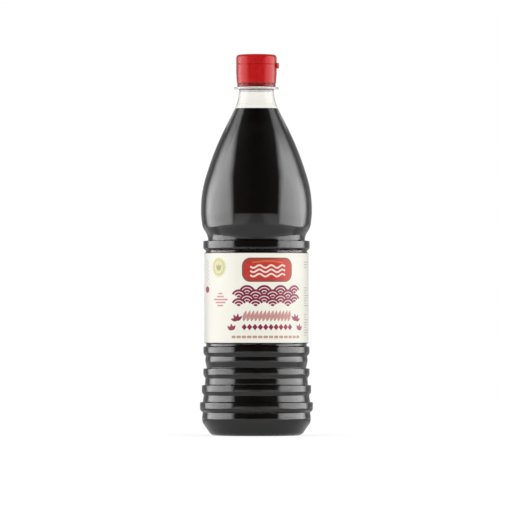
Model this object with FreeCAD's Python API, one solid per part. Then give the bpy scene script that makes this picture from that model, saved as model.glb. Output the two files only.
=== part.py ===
import FreeCAD, Part
import math
import os

# A one-litre PET bottle of table sauce with a flip-top closure and a wrap-round label.
# Millimetres, +Z up. The origin is the middle of the base, on the plane that the bottle stands
# on. The front of the label faces -Y and the thumb tab of the closure points along +X.

# ---- Body, from the base upwards ----
BODY_R = 38.7  # radius of the panel that carries the label
WALL = 0.45  # blown wall, even all over the body
PUSH_UP_H = 3.2  # rise of the middle of the base above the standing ring
PUSH_UP_R = 9.0  # flat middle of the push-up
PUSH_UP_ROUND = 3.0
STANDING_RING_W = 7.0  # from the foot of the push-up to the corner of the heel
HEEL_H = 10.1  # sloping heel between the standing ring and the base band
HEEL_IN = 6.85  # how far the heel draws in at the bottom
HEEL_LOWER_ROUND = 6.0
HEEL_UPPER_ROUND = 8.0

# Four hoops go round the lower body, listed from the lowest up, with plain bands below and
# between them. A hoop has a sharp step at its top and rounds off slowly towards its foot.
# The radii are counted out from the label panel.
HOOP_H = (7.85, 7.85, 7.5, 7.65)
HOOP_FOOT_Z = 17.3  # foot of the lowest hoop
HOOP_OUT = (3.38, 2.00, 0.88, 0.82)
HOOP_STEP_H = 0.5  # height of the step at the top of a hoop
HOOP_FLANK_H = (1.6, 2.2, 2.4, 2.2)  # height of the flank at its foot
HOOP_EDGE_ROUND = 0.35
HOOP_BELLY_ROUND = 3.0
HOOP_BAND_H = (4.85, 4.85, 8.7)  # plain bands between one hoop and the next
BAND_OUT = (1.78, 1.20, -0.33, -0.35)  # the base band, then the bands between the hoops
BAND_FOOT_IN = (0.0, 0.1, 1.40)  # how far a band between hoops draws in at its foot
BAND_TOP_IN = (0.45, 0.60, 0.30, 0.60)  # how far each band draws in at its top
BAND_FULLEST = (0.2, 0.2, 0.66)  # share of a band's height at which it is fullest
BASE_BAND_TAPER_H = 3.6  # height over which the base band draws in to the lowest hoop
CREASE_ROUND = 0.55
BAND_ROUND = 9.0

# ---- Label panel and the bead above it ----
PANEL_H = 67.2
PANEL_EDGE_ROUND = 0.2
PANEL_EDGE_H = 0.4  # height over which the panel drops into a groove
LOWER_GROOVE_DEPTH = 1.2  # grooves that frame the panel, below and above
UPPER_GROOVE_DEPTH = 0.9
LOWER_GROOVE_H = 2.25
UPPER_GROOVE_H = 1.8
BEAD_OUT = 0.95
BEAD_H = 7.0
BEAD_FLANK_H = 1.2
BEAD_BELLY_ROUND = 2.2
BEAD_EDGE_ROUND = 0.4

# ---- Waist, bulb and shoulder ----
WAIST_DEPTH = 2.60
WAIST_STEP_H = 0.5  # from the top of the bead up to the waist
WAIST_H = 3.3  # upright wall of the waist
WAIST_ROUND = 0.3
WAIST_UPPER_ROUND = 10.0
WAIST_RISE = 6.8  # from the wall of the waist up to the foot of the bulb
BULB_OUT = 2.63
BULB_FOOT_IN = 1.0  # how far the bulb draws in at its foot
BULB_FOOT_H = 9.1  # height over which it does so
BULB_FOOT_ROUND = 12.0
BULB_H = 17.15  # from the fullest place of the bulb up to the shoulder
BULB_LOWER_ROUND = 40.0
BULB_UPPER_ROUND = 82.0
SHOULDER_H = 68.2
SHOULDER_KNEE_RISE = 32.5  # height of the knee between the two slopes of the shoulder
SHOULDER_KNEE_SPREAD = 17.75  # how far out of the neck that knee stands
SHOULDER_ROUND = 200.0

# ---- Neck and its finish ----
BORE_R = 10.85
BORE_ROUND = 36.0
NECK_WALL = 2.15
NECK_H = 7.9
NECK_ROUND = 33.0
RING_OUT = 3.7  # how far the support ring stands out of the neck
RING_H = 1.7
RING_ROUND = 0.5
FINISH_WALL = 1.55
FINISH_H = 15.7

# ---- Sauce ----
HEADSPACE = 14.5  # from the underside of the support ring down to the sauce
SAUCE_CLEARANCE = 0.05

# ---- Label ----
LABEL_MARGIN = 0.4  # bare panel above and below the label
LABEL_T = 0.12
LABEL_CLEARANCE = 0.04

# ---- Tamper band ----
TAMPER_WALL = 1.4
TAMPER_H = 2.3
TAMPER_CLEARANCE = 0.5  # all round the finish
TAMPER_ROUND = 0.35
BRIDGE_COUNT = 12
BRIDGE_W = 0.9
BRIDGE_H = 0.45  # slit between the band and the closure
BRIDGE_INSET = 0.25  # from the inner and the outer face of the band

# ---- Closure ----
CAP_WALL = 2.45
CAP_TAPER = 0.5  # how much narrower the skirt is at its foot
CAP_TAPER_H = 8.2
CAP_CLEARANCE = 0.25  # between the skirt and the finish
CAP_OVER_RIM = 8.9
CAP_CROWN_DROP = 0.5  # fall of the lid from its flat middle to its edge
CAP_CROWN_EDGE_W = 7.1  # width of the sloping edge round the flat middle
CAP_CROWN_EDGE_ROUND = 15.0
CAP_CROWN_ROUND = 2.4
CAP_FOOT_ROUND = 0.4
PARTING_OVER_RIM = 1.3  # line where the lid meets the skirt
PARTING_W = 0.4
PARTING_DEPTH = 0.45
HINGE_W = 11.0
TAB_OUT = 1.75
TAB_W = 10.0
TAB_H = 4.2
TAB_LAP = 1.1  # height of the tab that is joined to the lid, above the parting line
TAB_SLIT = 0.3  # gap between the hanging tab and the skirt
TAB_ROUND = 0.7

# ---- Heights and radii that follow ----
SMALLEST_ARC = 0.6  # finer roundings are made as chamfers
SMALLEST_INNER_ROUND = 2.5  # the blown wall fills the corners behind tighter roundings
FILLET_SHARE = 0.98  # part of a straight that its two roundings may use up
NECK_R = BORE_R + NECK_WALL
RING_R = NECK_R + RING_OUT
FINISH_R = BORE_R + FINISH_WALL
TAMPER_INNER_R = FINISH_R + TAMPER_CLEARANCE
TAMPER_R = TAMPER_INNER_R + TAMPER_WALL
CAP_INNER_R = FINISH_R + CAP_CLEARANCE
CAP_R = CAP_INNER_R + CAP_WALL
WAIST_R = BODY_R - WAIST_DEPTH
BULB_R = BODY_R + BULB_OUT
BEAD_R = BODY_R + BEAD_OUT
LOWER_GROOVE_R = BODY_R - LOWER_GROOVE_DEPTH
UPPER_GROOVE_R = BODY_R - UPPER_GROOVE_DEPTH
HOOP_FOOTS = [HOOP_FOOT_Z + sum(HOOP_H[:i]) + sum(HOOP_BAND_H[:i]) for i in range(len(HOOP_H))]
PANEL_FOOT_Z = HOOP_FOOTS[-1] + HOOP_H[-1] + LOWER_GROOVE_H
PANEL_TOP_Z = PANEL_FOOT_Z + PANEL_H
BEAD_FOOT_Z = PANEL_TOP_Z + UPPER_GROOVE_H
WAIST_Z = BEAD_FOOT_Z + BEAD_H + WAIST_STEP_H
BULB_FOOT_Z = WAIST_Z + WAIST_H + WAIST_RISE
BULB_TOP_Z = BULB_FOOT_Z + BULB_FOOT_H + BULB_H
SHOULDER_TOP_Z = BULB_TOP_Z + SHOULDER_H
RING_FOOT_Z = SHOULDER_TOP_Z + NECK_H
RING_TOP_Z = RING_FOOT_Z + RING_H
RIM_Z = RING_TOP_Z + FINISH_H
FILL_Z = RING_FOOT_Z - HEADSPACE
TAMPER_TOP_Z = RING_TOP_Z + TAMPER_H
CAP_FOOT_Z = TAMPER_TOP_Z + BRIDGE_H
CAP_TOP_Z = RIM_Z + CAP_OVER_RIM
PARTING_Z = RIM_Z + PARTING_OVER_RIM

AXIS = FreeCAD.Vector(0, 0, 1)
ORIGIN = FreeCAD.Vector(0, 0, 0)


# ---- Outlines: corners (radius, height, rounding) in the half plane that is turned round Z ----

def offset_outline(corners, distance):
    """Move an open outline to its left. Large roundings stay concentric, small ones close up."""
    straights = [FreeCAD.Vector(b[0] - a[0], 0, b[1] - a[1]).normalize()
                 for a, b in zip(corners, corners[1:])]
    moved = []
    for i, (r, z, rounding) in enumerate(corners):
        before = straights[max(i - 1, 0)]
        after = straights[min(i, len(straights) - 1)]
        share = distance / (1 + before.dot(after))
        rounding -= math.copysign(distance, before.x * after.z - before.z * after.x)
        if rounding < SMALLEST_INNER_ROUND:
            rounding = 0.0
        moved.append((r - (before.z + after.z) * share, z + (before.x + after.x) * share, rounding))
    return moved


def arc_cuts(straights, roundings):
    """How far from its corner each rounding starts, so that two never overlap on a straight."""
    turns = [straights[i - 1].getAngle(after) for i, after in enumerate(straights)]
    wanted = [rounding * math.tan(turn / 2) for rounding, turn in zip(roundings, turns)]
    room = []
    for i, straight in enumerate(straights):
        needed = wanted[i] + wanted[(i + 1) % len(wanted)]
        room.append(min(1.0, FILLET_SHARE * straight.Length / needed) if needed else 1.0)
    return turns, [cut * min(room[i - 1], room[i]) for i, cut in enumerate(wanted)]


def rounded_wire(corners):
    """Closed wire through the corners, each one with a rounding cut by a tangent arc."""
    points = [FreeCAD.Vector(r, 0, z) for r, z, _ in corners]
    roundings = [rounding for _, _, rounding in corners]
    straights = [after - point for point, after in zip(points, points[1:] + points[:1])]
    turns, cuts = arc_cuts(straights, roundings)
    starts, ends = [], []
    for i, point in enumerate(points):
        starts.append(point - straights[i - 1] * (cuts[i] / straights[i - 1].Length))
        ends.append(point + straights[i] * (cuts[i] / straights[i].Length))
    edges = []
    for i, point in enumerate(points):
        if 0.0 < roundings[i] < SMALLEST_ARC:
            edges.append(Part.LineSegment(starts[i], ends[i]).toShape())
        elif cuts[i]:
            # the arc crosses the bisector of its corner at this height over its chord
            rise = cuts[i] * math.cos(turns[i] / 2) * math.tan(turns[i] / 4)
            chord_middle = (starts[i] + ends[i]) * 0.5
            bisector = (point - chord_middle).normalize()
            edges.append(Part.Arc(starts[i], chord_middle + bisector * rise, ends[i]).toShape())
        edges.append(Part.LineSegment(ends[i], starts[(i + 1) % len(starts)]).toShape())
    return Part.Wire(edges)


def turned(corners):
    """Solid made by turning a closed outline round the axis."""
    return Part.Face(rounded_wire(corners)).revolve(ORIGIN, AXIS, 360)


def ring_of(inner_r, outer_r, foot_z, top_z, rounding=0.0):
    """Plain ring with rounded outer edges."""
    return turned([
        (inner_r, foot_z, 0.0),
        (outer_r, foot_z, rounding),
        (outer_r, top_z, rounding),
        (inner_r, top_z, 0.0),
    ])


# ---- Bottle ----

def hoop_corners():
    """Hoops and bands of the lower body, from the base band to the foot of the label groove."""
    corners = []
    for i, foot in enumerate(HOOP_FOOTS):
        top = foot + HOOP_H[i]
        crest_r = BODY_R + HOOP_OUT[i]
        corners += [
            (BODY_R + BAND_OUT[i] - BAND_TOP_IN[i], foot, CREASE_ROUND),
            (crest_r, foot + HOOP_FLANK_H[i], HOOP_BELLY_ROUND),
            (crest_r, top - HOOP_STEP_H, HOOP_EDGE_ROUND),
        ]
        if i + 1 < len(HOOP_FOOTS):
            full_r = BODY_R + BAND_OUT[i + 1]
            corners += [
                (full_r - BAND_FOOT_IN[i], top, CREASE_ROUND),
                (full_r, top + HOOP_BAND_H[i] * BAND_FULLEST[i], BAND_ROUND),
            ]
    return corners


def panel_corners():
    """Groove, label panel, groove, bead and the upright wall of the waist."""
    return [
        (LOWER_GROOVE_R, PANEL_FOOT_Z - LOWER_GROOVE_H, CREASE_ROUND),
        (LOWER_GROOVE_R, PANEL_FOOT_Z - PANEL_EDGE_H, PANEL_EDGE_ROUND),
        (BODY_R, PANEL_FOOT_Z, PANEL_EDGE_ROUND),
        (BODY_R, PANEL_TOP_Z, PANEL_EDGE_ROUND),
        (UPPER_GROOVE_R, PANEL_TOP_Z + PANEL_EDGE_H, PANEL_EDGE_ROUND),
        (UPPER_GROOVE_R, BEAD_FOOT_Z, CREASE_ROUND),
        (BEAD_R, BEAD_FOOT_Z + BEAD_FLANK_H, BEAD_BELLY_ROUND),
        (BEAD_R, BEAD_FOOT_Z + BEAD_H, BEAD_EDGE_ROUND),
        (WAIST_R, WAIST_Z, WAIST_ROUND),
        (WAIST_R, WAIST_Z + WAIST_H, WAIST_UPPER_ROUND),
    ]


def body_outline():
    """Outside of the body, from the middle of the base to the corner at the foot of the neck."""
    base_band_r = BODY_R + BAND_OUT[0]
    heel_r = base_band_r - HEEL_IN
    return [
        (0.0, PUSH_UP_H, 0.0),
        (PUSH_UP_R, PUSH_UP_H, PUSH_UP_ROUND),
        (heel_r - STANDING_RING_W, 0.0, PUSH_UP_ROUND),
        (heel_r, 0.0, HEEL_LOWER_ROUND),
        (base_band_r, HEEL_H, HEEL_UPPER_ROUND),
        (base_band_r, HOOP_FOOT_Z - BASE_BAND_TAPER_H, BAND_ROUND),
    ] + hoop_corners() + panel_corners() + [
        (BULB_R - BULB_FOOT_IN, BULB_FOOT_Z, BULB_FOOT_ROUND),
        (BULB_R, BULB_FOOT_Z + BULB_FOOT_H, BULB_LOWER_ROUND),
        (BULB_R, BULB_TOP_Z, BULB_UPPER_ROUND),
        (NECK_R + SHOULDER_KNEE_SPREAD, BULB_TOP_Z + SHOULDER_KNEE_RISE, SHOULDER_ROUND),
        (NECK_R, SHOULDER_TOP_Z, NECK_ROUND),
    ]


def cavity_outline(wall, top_z):
    """Inside of the bottle at a given wall, from the middle of the base up the bore."""
    outer = body_outline() + [(NECK_R, RING_FOOT_Z, 0.0)]
    inner = offset_outline(outer, wall)[:-1]
    cone_foot, cone_top = inner[-2], inner.pop()
    bore_r = BORE_R + WALL - wall
    share = (bore_r - cone_foot[0]) / (cone_top[0] - cone_foot[0])
    bore_foot_z = cone_foot[1] + share * (cone_top[1] - cone_foot[1])
    return inner + [(bore_r, bore_foot_z, BORE_ROUND), (bore_r, top_z, 0.0)]


def finish_outline():
    """Neck, support ring and plain finish, up to the outer edge of the rim."""
    return [
        (NECK_R, RING_FOOT_Z, 0.0),
        (RING_R, RING_FOOT_Z, RING_ROUND),
        (RING_R, RING_TOP_Z, RING_ROUND),
        (FINISH_R, RING_TOP_Z, 0.0),
        (FINISH_R, RIM_Z, 0.0),
    ]


def make_bottle():
    """Blown shell of even wall with its thicker neck, as one turned solid."""
    return turned(body_outline() + finish_outline() + cavity_outline(WALL, RIM_Z)[::-1])


def make_sauce():
    """Sauce that fills the shell up to the fill line."""
    full = turned(cavity_outline(WALL + SAUCE_CLEARANCE, RIM_Z) + [(0.0, RIM_Z, 0.0)])
    return full.common(Part.makeCylinder(2 * BULB_R, FILL_Z))


# ---- Label ----

def make_label():
    """Sleeve of paper wrapped round the panel."""
    inner_r = BODY_R + LABEL_CLEARANCE
    return ring_of(inner_r, inner_r + LABEL_T, PANEL_FOOT_Z + LABEL_MARGIN,
                   PANEL_TOP_Z - LABEL_MARGIN)


# ---- Closure and tamper band ----

def make_tamper_band():
    """Ring that stands on the support ring, with the thin bridges that hold the closure."""
    band = ring_of(TAMPER_INNER_R, TAMPER_R, RING_TOP_Z, TAMPER_TOP_Z, TAMPER_ROUND)
    bridge_foot = TAMPER_TOP_Z - TAMPER_ROUND
    bridge = Part.makeBox(
        TAMPER_WALL - 2 * BRIDGE_INSET, BRIDGE_W, CAP_FOOT_Z - bridge_foot,
        FreeCAD.Vector(TAMPER_INNER_R + BRIDGE_INSET, -BRIDGE_W / 2, bridge_foot))
    for i in range(BRIDGE_COUNT):
        copy = bridge.copy()
        copy.rotate(ORIGIN, AXIS, 360.0 * i / BRIDGE_COUNT)
        band = band.fuse(copy)
    return band


def cap_body():
    """Skirt, deck and shut lid before the parting line is cut: hollow below the deck."""
    return turned([
        (CAP_INNER_R, CAP_FOOT_Z, 0.0),
        (CAP_R - CAP_TAPER, CAP_FOOT_Z, CAP_FOOT_ROUND),
        (CAP_R, CAP_FOOT_Z + CAP_TAPER_H, CAP_CROWN_EDGE_ROUND),
        (CAP_R, CAP_TOP_Z - CAP_CROWN_DROP, CAP_CROWN_ROUND),
        (CAP_R - CAP_CROWN_EDGE_W, CAP_TOP_Z, CAP_CROWN_EDGE_ROUND),
        (0.0, CAP_TOP_Z, 0.0),
        (0.0, RIM_Z, 0.0),
        (CAP_INNER_R, RIM_Z, 0.0),
    ])


def parting_groove():
    """Ring cut between skirt and lid, left out where the flush hinge crosses it."""
    groove = ring_of(CAP_R - PARTING_DEPTH, 2 * CAP_R, PARTING_Z - PARTING_W / 2,
                     PARTING_Z + PARTING_W / 2)
    strap = Part.makeBox(2 * CAP_R, HINGE_W, 2 * PARTING_W,
                         FreeCAD.Vector(-2 * CAP_R, -HINGE_W / 2, PARTING_Z - PARTING_W))
    return groove.cut(strap)


def thumb_tab():
    """Lip of the lid on +X: joined to it above the parting line, hanging clear of the skirt."""
    top_z = PARTING_Z + TAB_LAP
    lip = ring_of(CAP_R - PARTING_DEPTH, CAP_R + TAB_OUT, top_z - TAB_H, top_z, TAB_ROUND)
    sector = Part.makeBox(2 * CAP_R, TAB_W, TAB_H, FreeCAD.Vector(0, -TAB_W / 2, top_z - TAB_H))
    lip = lip.common(sector)
    behind = ring_of(0.0, CAP_R + TAB_SLIT, top_z - TAB_H, PARTING_Z + PARTING_W / 2)
    return lip.cut(behind)


def make_cap():
    """Flip-top closure, shut: skirt, lid and hinge are one moulding."""
    return cap_body().cut(parting_groove()).fuse(thumb_tab())


MAKERS = {
    "bottle": make_bottle,
    "sauce": make_sauce,
    "label": make_label,
    "tamper_band": make_tamper_band,
    "cap": make_cap,
}

os.makedirs("parts", exist_ok=True)
for node, make in MAKERS.items():
    shape = make().removeSplitter()
    solid = shape.Solids[0] if len(shape.Solids) == 1 else shape
    solid.exportStep(f"parts/{node}.step")
    box = solid.optimalBoundingBox()
    print(f"{node}: {len(shape.Solids)} solid, valid {solid.isValid()}, "
          f"{solid.Volume / 1000:.2f} ml, z {box.ZMin:.2f} to {box.ZMax:.2f}, "
          f"widest {box.XLength:.2f} x {box.YLength:.2f}")
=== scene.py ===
import cmath
import logging
import math
from dataclasses import dataclass, replace
from enum import Enum
from functools import partial, reduce
from typing import Any, Iterable, Sequence

import bmesh
import bpy
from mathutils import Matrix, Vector


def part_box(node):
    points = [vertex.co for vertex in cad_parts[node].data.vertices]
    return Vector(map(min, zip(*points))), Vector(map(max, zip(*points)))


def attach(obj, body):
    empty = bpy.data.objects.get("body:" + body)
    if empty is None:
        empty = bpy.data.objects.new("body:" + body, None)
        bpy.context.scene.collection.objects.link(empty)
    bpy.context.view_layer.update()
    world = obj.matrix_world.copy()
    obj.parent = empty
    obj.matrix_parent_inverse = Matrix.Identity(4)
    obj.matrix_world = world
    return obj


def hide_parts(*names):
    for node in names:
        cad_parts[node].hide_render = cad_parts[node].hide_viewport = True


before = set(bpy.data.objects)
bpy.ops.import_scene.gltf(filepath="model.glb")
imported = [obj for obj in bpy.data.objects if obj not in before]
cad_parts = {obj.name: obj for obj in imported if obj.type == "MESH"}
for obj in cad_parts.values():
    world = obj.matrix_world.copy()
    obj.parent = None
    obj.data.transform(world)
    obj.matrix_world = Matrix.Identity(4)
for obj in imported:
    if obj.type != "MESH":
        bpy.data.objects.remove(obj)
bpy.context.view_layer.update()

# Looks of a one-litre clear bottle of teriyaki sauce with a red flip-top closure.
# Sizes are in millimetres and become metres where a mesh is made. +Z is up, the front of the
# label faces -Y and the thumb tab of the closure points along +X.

MM = 0.001
WELD = 1e-7  # points closer than this are one, in metres
NOISE_SPAN = (0.3, 0.7)  # the middle of a noise, where most of its values are
BODY = "root"
LOG = logging.getLogger("teriyaki_bottle")

Corner = tuple[float, float, float]  # radius, height, rounding
Loop = list[complex]  # closed outline in a plane, across + 1j * up
Colour = tuple[float, float, float, float]
Socket = bpy.types.NodeSocket


class Slot(Enum):
    """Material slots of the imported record."""

    SHELL = "clear_shell"
    SAUCE = "sauce"
    LABEL = "label"
    CLOSURE = "closure"


class Side(Enum):
    """The two sides of the bottle that a softbox stands on."""

    LEFT = -1.0
    RIGHT = 1.0


def display(red: int, green: int, blue: int) -> Colour:
    """Linear colour of three display values from 0 to 255.

    Args:
        red: Red display value.
        green: Green display value.
        blue: Blue display value.

    Returns:
        The colour as four linear parts, fully opaque.
    """
    def linear(value: float) -> float:
        """Linear part of one display value from 0 to 1."""
        return value / 12.92 if value <= 0.04045 else ((value + 0.055) / 1.055) ** 2.4
    return (linear(red / 255), linear(green / 255), linear(blue / 255), 1.0)


def scaled(colour: Colour, factor: float) -> Colour:
    """A darker or lighter copy of a colour.

    Args:
        colour: The colour to start from.
        factor: What its three parts are multiplied by.

    Returns:
        The new colour, fully opaque.
    """
    return (colour[0] * factor, colour[1] * factor, colour[2] * factor, 1.0)


def grey(level: float) -> Colour:
    """A neutral colour of a linear level."""
    return (level, level, level, 1.0)


class Graph:
    """A short way to add and join the nodes of one tree."""

    def __init__(self, tree: bpy.types.NodeTree) -> None:
        """Keeps the tree that the nodes go into.

        Args:
            tree: A shader or geometry tree.
        """
        self.tree = tree

    def add(self, kind: str, inputs: dict[Any, Any] | None = None,
            **settings: Any) -> bpy.types.Node:
        """Adds one node.

        Args:
            kind: The node's type name.
            inputs: Input name or number, and the value or output socket that goes into it.
            **settings: Properties of the node itself.

        Returns:
            The new node.
        """
        node = self.tree.nodes.new(kind)
        for name, value in settings.items():
            setattr(node, name, value)
        for name, value in (inputs or {}).items():
            self.feed(node.inputs[name], value)
        return node

    def feed(self, socket: Socket, value: Any) -> None:
        """Puts a value or a link into an input.

        Args:
            socket: The input.
            value: A plain value, or the output socket that is linked to it.
        """
        if isinstance(value, Socket):
            self.tree.links.new(value, socket)
        else:
            socket.default_value = value

    def maths(self, operation: str, first: Any, second: Any = 0.0) -> Socket:
        """Result of an operation on two numbers or sockets."""
        inputs = {0: first, 1: second}
        return self.add("ShaderNodeMath", inputs, operation=operation).outputs[0]

    def plus(self, *values: Any) -> Socket:
        """Sum of numbers and sockets."""
        return reduce(partial(self.maths, "ADD"), values)

    def times(self, *values: Any) -> Socket:
        """Product of numbers and sockets."""
        return reduce(partial(self.maths, "MULTIPLY"), values)

    def parts(self, vector: Any) -> Any:
        """The X, Y and Z sockets of a vector."""
        return self.add("ShaderNodeSeparateXYZ", {0: vector}).outputs

    def vector(self, **parts: Any) -> Socket:
        """A vector of named parts, the others 0."""
        return self.add("ShaderNodeCombineXYZ", parts).outputs[0]

    def place(self) -> Socket:
        """The piece's own coordinates."""
        return self.add("ShaderNodeTexCoord").outputs["Object"]

    def mapped(self, value: Any, low: Any, high: Any, start: Any, end: Any,
               smooth: bool = False) -> Socket:
        """A value mapped from one range to another and held at both ends.

        Args:
            value: What is mapped.
            low: Value that gives the start.
            high: Value that gives the end.
            start: Result at the low value.
            end: Result at the high value.
            smooth: Whether it eases in and out.

        Returns:
            The mapped socket.
        """
        return self.add("ShaderNodeMapRange", {
            "Value": value, "From Min": low, "From Max": high, "To Min": start, "To Max": end},
            interpolation_type="SMOOTHSTEP" if smooth else "LINEAR").outputs[0]

    def ramp(self, value: Any, *stops: tuple[float, Colour]) -> Socket:
        """A colour that follows a value.

        Args:
            value: The value, from 0 to 1.
            *stops: Two or more positions, each with its colour.

        Returns:
            The colour socket.
        """
        node = self.add("ShaderNodeValToRGB", {"Fac": value})
        elements = node.color_ramp.elements
        for number, (position, colour) in enumerate(stops):
            stop = elements[number] if number < 2 else elements.new(position)
            stop.position, stop.color = position, colour
        return node.outputs[0]


class Look(Graph):
    """A material's graph, round one shader."""

    def __init__(self, name: str, kind: str = "ShaderNodeBsdfPrincipled") -> None:
        """Makes the material.

        Args:
            name: The material's name.
            kind: Type name of its shader.
        """
        self.material = bpy.data.materials.new(name)
        self.material.use_nodes = True
        self.material.node_tree.nodes.clear()
        super().__init__(self.material.node_tree)
        self.shader = self.add(kind)
        self.output = self.add("ShaderNodeOutputMaterial", {"Surface": self.shader.outputs[0]})

    def dress(self, inputs: dict[Any, Any]) -> bpy.types.Material:
        """Feeds the shader's inputs.

        Args:
            inputs: Input name or number, and what goes into it.

        Returns:
            The material.
        """
        for name, value in inputs.items():
            self.feed(self.shader.inputs[name], value)
        return self.material

    def noise(self, scale: float, detail: float = 2.0,
              stretch: tuple[float, float, float] = (1.0, 1.0, 1.0)) -> Socket:
        """Smooth noise on the piece's own coordinates.

        Args:
            scale: How many waves go into a metre.
            detail: How many finer layers are added.
            stretch: Scale along each axis.

        Returns:
            A socket from 0 to 1.
        """
        laid = self.add("ShaderNodeMapping", {"Vector": self.place(), "Scale": stretch})
        return self.add("ShaderNodeTexNoise", {
            "Vector": laid.outputs[0], "Scale": scale, "Detail": detail}).outputs[0]

    def between(self, noise: Socket, low: float, high: float) -> Socket:
        """The middle of a noise, mapped to a range."""
        return self.mapped(noise, *NOISE_SPAN, low, high)

    def blend(self, noise: Socket, first: Colour, second: Colour) -> Socket:
        """Two colours mixed by the middle of a noise."""
        return self.ramp(noise, *zip(NOISE_SPAN, (first, second)))

    def bump(self, height: Socket, depth: float, strength: float = 1.0) -> Socket:
        """Normal of a finely uneven surface.

        Args:
            height: The height field from 0 to 1.
            depth: What a height of 1 stands for, in metres.
            strength: Share of the effect.

        Returns:
            The normal socket.
        """
        return self.add("ShaderNodeBump", {
            "Height": height, "Distance": depth, "Strength": strength}).outputs[0]


# ---- Outlines ----

@dataclass(frozen=True)
class Rounding:
    """How corners of an outline become arcs."""

    share: float = 0.98  # part of a straight that its two arcs may use up
    finest_turn: float = math.radians(9)
    sag: float = 0.004  # how far a chord may lie inside its arc
    smallest_inner: float = 0.06

    def points(self, corners: Sequence[Corner]) -> Loop:
        """Points along an open outline, with each inner corner cut by a tangent arc.

        Args:
            corners: The outline's corners.

        Returns:
            The points as complex numbers, radius + 1j * height.
        """
        marks = [complex(r, z) for r, z, _ in corners]
        spans = [after - mark for mark, after in zip(marks, marks[1:])]
        turns = [cmath.phase(after / span) for span, after in zip(spans, spans[1:])]
        wanted = [0.0] + [corner[2] * math.tan(abs(turn) / 2)
                          for corner, turn in zip(corners[1:], turns)] + [0.0]
        room = [min(1.0, self.share * abs(span) / max(first + second, 1e-9))
                for span, first, second in zip(spans, wanted, wanted[1:])]
        made = [marks[0]]
        for i, turn in enumerate(turns, start=1):
            cut = wanted[i] * min(room[i - 1], room[i])
            if cut < 1e-6:
                made.append(marks[i])
                continue
            heading = spans[i - 1] / abs(spans[i - 1])
            radius = cut / math.tan(abs(turn) / 2)
            start = marks[i] - heading * cut
            centre = start + 1j * math.copysign(1, turn) * heading * radius
            fine = min(self.finest_turn, math.sqrt(8 * self.sag / radius))
            steps = max(2, math.ceil(abs(turn) / fine))
            made += [centre + (start - centre) * cmath.exp(1j * turn * k / steps)
                     for k in range(steps + 1)]
        return made + [marks[-1]]

    def moved(self, corners: Sequence[Corner], distance: float) -> list[Corner]:
        """An open outline moved to its left, with its roundings kept concentric.

        Args:
            corners: The outline's corners.
            distance: How far it moves.

        Returns:
            The new corners.
        """
        marks = [complex(r, z) for r, z, _ in corners]
        units = [(b - a) / abs(b - a) for a, b in zip(marks, marks[1:])]
        made = []
        for i, (mark, corner) in enumerate(zip(marks, corners)):
            before, after = units[max(i - 1, 0)], units[min(i, len(units) - 1)]
            turn = cmath.phase(after / before)
            reach = distance / (1 + math.cos(turn))
            place = mark + 1j * (before + after) * reach
            rounding = corner[2] - math.copysign(distance, turn)
            made.append((place.real, place.imag, max(rounding, self.smallest_inner)))
        return made


ROUNDING = Rounding()


# ---- Meshes ----

def mesh_object(name: str, vertices: Iterable[Sequence[float]],
                edges: Iterable[Sequence[int]] = (),
                faces: Iterable[Sequence[int]] = ()) -> bpy.types.Object:
    """A new mesh object at the origin, in the scene.

    Args:
        name: The object's name.
        vertices: Points in metres.
        edges: Pairs of point numbers.
        faces: Point numbers of each face.

    Returns:
        The object.
    """
    mesh = bpy.data.meshes.new(name)
    mesh.from_pydata([tuple(v) for v in vertices], list(edges), list(faces))
    made = bpy.data.objects.new(name, mesh)
    bpy.context.scene.collection.objects.link(made)
    return made


def tidy_normals(piece: bpy.types.Object) -> bpy.types.Object:
    """Welds doubles, turns the faces of one closed surface outwards and shades it smooth.

    Args:
        piece: A mesh object.

    Returns:
        The same object.
    """
    work = bmesh.new()
    work.from_mesh(piece.data)
    bmesh.ops.remove_doubles(work, verts=work.verts, dist=WELD)
    bmesh.ops.recalc_face_normals(work, faces=work.faces)
    for face in work.faces:
        face.smooth = True
    work.to_mesh(piece.data)
    work.free()
    return piece


def run_tree(piece: bpy.types.Object, tree: bpy.types.NodeTree,
             values: dict[str, Any]) -> bpy.types.Object:
    """Runs a geometry tree on an object and keeps its result as a plain mesh.

    Args:
        piece: The object that the tree starts from.
        tree: The geometry tree.
        values: What goes into its named inputs.

    Returns:
        The same object, with the new mesh and no modifier.
    """
    modifier = piece.modifiers.new(tree.name, "NODES")
    modifier.node_group = tree
    for item in tree.interface.items_tree:
        if item.in_out == "INPUT" and item.name in values:
            modifier[item.identifier] = values[item.name]
    piece.update_tag()
    graph = bpy.context.evaluated_depsgraph_get()
    made = bpy.data.meshes.new_from_object(piece.evaluated_get(graph), depsgraph=graph)
    piece.modifiers.remove(modifier)
    piece.data = made
    made.name = piece.name
    return piece


def new_tree(name: str, inputs: Sequence[tuple[str, str, Any]]) -> tuple[Graph, Any, Any]:
    """An empty geometry tree with named inputs.

    Args:
        name: The tree's name.
        inputs: Name, socket type and default of each input after the geometry.

    Returns:
        The graph, its input node and its output node.
    """
    tree = bpy.data.node_groups.new(name, "GeometryNodeTree")
    face = tree.interface
    face.new_socket("Geometry", in_out="INPUT", socket_type="NodeSocketGeometry")
    for label, kind, default in inputs:
        socket = face.new_socket(label, in_out="INPUT", socket_type=kind)
        if default is not None:
            socket.default_value = default
    face.new_socket("Geometry", in_out="OUTPUT", socket_type="NodeSocketGeometry")
    graph = Graph(tree)
    return graph, graph.add("NodeGroupInput"), graph.add("NodeGroupOutput")


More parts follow.
